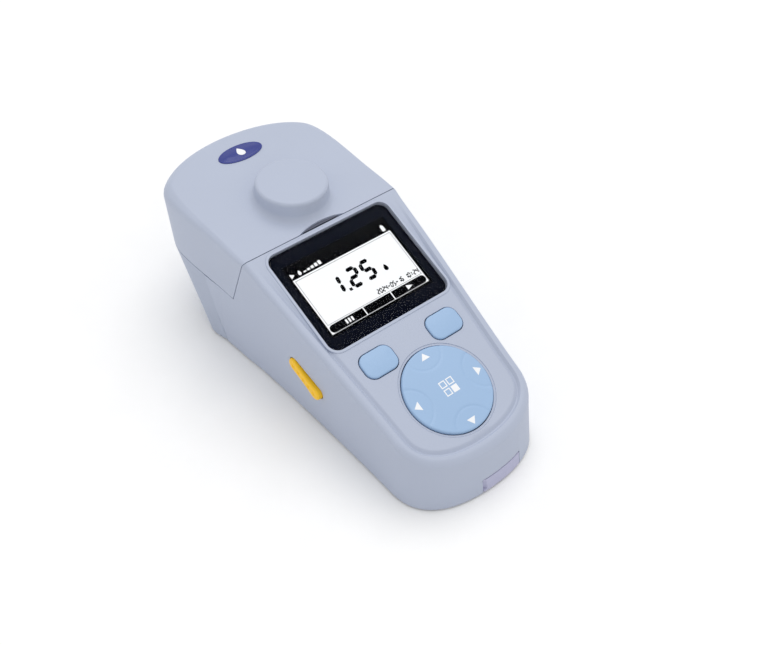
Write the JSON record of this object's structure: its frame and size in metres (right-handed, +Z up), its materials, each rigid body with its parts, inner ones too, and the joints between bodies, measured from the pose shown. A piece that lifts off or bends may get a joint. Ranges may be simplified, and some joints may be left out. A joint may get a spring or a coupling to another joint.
{
  "type": "portable turbidity meter",
  "caption": "Wedge-shaped hand-held turbidity meter with a display, soft keys, a direction pad and a hinged hood over its sample well.",
  "frame": {"origin": "centre of the bounding box's bottom face, on the surface that the feet stand on", "axes": "+X to the user's right, +Y from the keypad end to the hood end, +Z up"},
  "size_m": [0.0948, 0.2137, 0.081],
  "materials": {
    "shell": "matte",
    "base": "matte",
    "key": "satin",
    "orange": "satin",
    "rubber": "matte",
    "black": "matte",
    "glass": "gloss",
    "board": "satin",
    "steel": "brushed",
    "screen": "satin",
    "badge": "gloss",
    "battery": "satin"
  },
  "bodies": {
    "case": {"upper_case": "shell", "lower_case": "base", "well_deck": "base", "optics_block": "black", "well_collar": "black", "lamp_module": "steel", "transmitted_detector": "black", "scatter_detector": "black", "detector_board": "board", "optics_screw_1": "steel", "optics_screw_2": "steel", "deck_screw_1": "steel", "deck_screw_2": "steel", "case_screw_1": "steel", "case_screw_2": "steel", "case_screw_3": "steel", "case_screw_4": "steel", "display_window": "glass", "display_gasket": "black", "lcd_module": "screen", "lcd_backlight": "screen", "main_board": "board", "buzzer": "black", "clock_battery": "steel", "keypad_mat": "rubber", "switch_key_left": "black", "switch_key_right": "black", "dpad_guide": "black", "switch_centre": "black", "switch_up": "black", "switch_down": "black", "switch_left": "black", "switch_right": "black", "power_switch": "black", "power_board": "board", "usb_socket": "steel", "charge_board": "board", "battery_pack": "battery", "battery_door": "base", "battery_door_screw": "steel", "foot_1": "black", "foot_2": "black", "foot_3": "black", "foot_4": "black"},
    "hood": {"lid": "shell", "lid_liner": "black", "lid_seal": "black", "lid_hinge_pin": "steel", "lid_badge": "badge"},
    "left_key": {"soft_key_left": "key"},
    "right_key": {"soft_key_right": "key"},
    "pad_plunger": {"dpad_plunger": "black"},
    "pad_pivot": {"dpad_pivot": "black"},
    "pad": {"dpad": "key"},
    "power_key": {"power_button": "orange"},
    "port_flap": {"port_cover": "rubber"}
  },
  "joints": [
    {"name": "lid_hinge", "type": "hinge", "parent": "case", "child": "hood", "pos_m": [0, 0.1019, 0.0385], "axis": [-1, 0, 0], "range_deg": [0, 95]},
    {"name": "left_key_press", "type": "slide", "parent": "case", "child": "left_key", "axis": [0, 0.342, -0.9397], "range_m": [0, 0.0008], "stiffness_N_per_m": 1200, "springref_m": -0.0002},
    {"name": "right_key_press", "type": "slide", "parent": "case", "child": "right_key", "axis": [0, 0.342, -0.9397], "range_m": [0, 0.0008], "stiffness_N_per_m": 1200, "springref_m": -0.0002},
    {"name": "pad_press", "type": "slide", "parent": "case", "child": "pad_plunger", "axis": [0, 0.342, -0.9397], "range_m": [0, 0.0008], "stiffness_N_per_m": 1500, "springref_m": -0.0003},
    {"name": "pad_tilt_up_down", "type": "hinge", "parent": "pad_plunger", "child": "pad_pivot", "pos_m": [0, -0.06969, 0.03206], "axis": [1, 0, 0], "range_deg": [-2.5, 2.5], "stiffness_Nm_per_rad": 0.4},
    {"name": "pad_tilt_left_right", "type": "hinge", "parent": "pad_pivot", "child": "pad", "pos_m": [0, -0.06969, 0.03206], "axis": [0, 0.9397, 0.342], "range_deg": [-2.5, 2.5], "stiffness_Nm_per_rad": 0.4},
    {"name": "power_key_press", "type": "slide", "parent": "case", "child": "power_key", "axis": [1, 0, 0], "range_m": [0, 0.001], "stiffness_N_per_m": 1200, "springref_m": -0.0002},
    {"name": "port_flap_hinge", "type": "hinge", "parent": "case", "child": "port_flap", "pos_m": [0.0189, -0.10425, 0.00475], "axis": [0, 0.1919, 0.9814], "range_deg": [0, 100]}
  ]
}
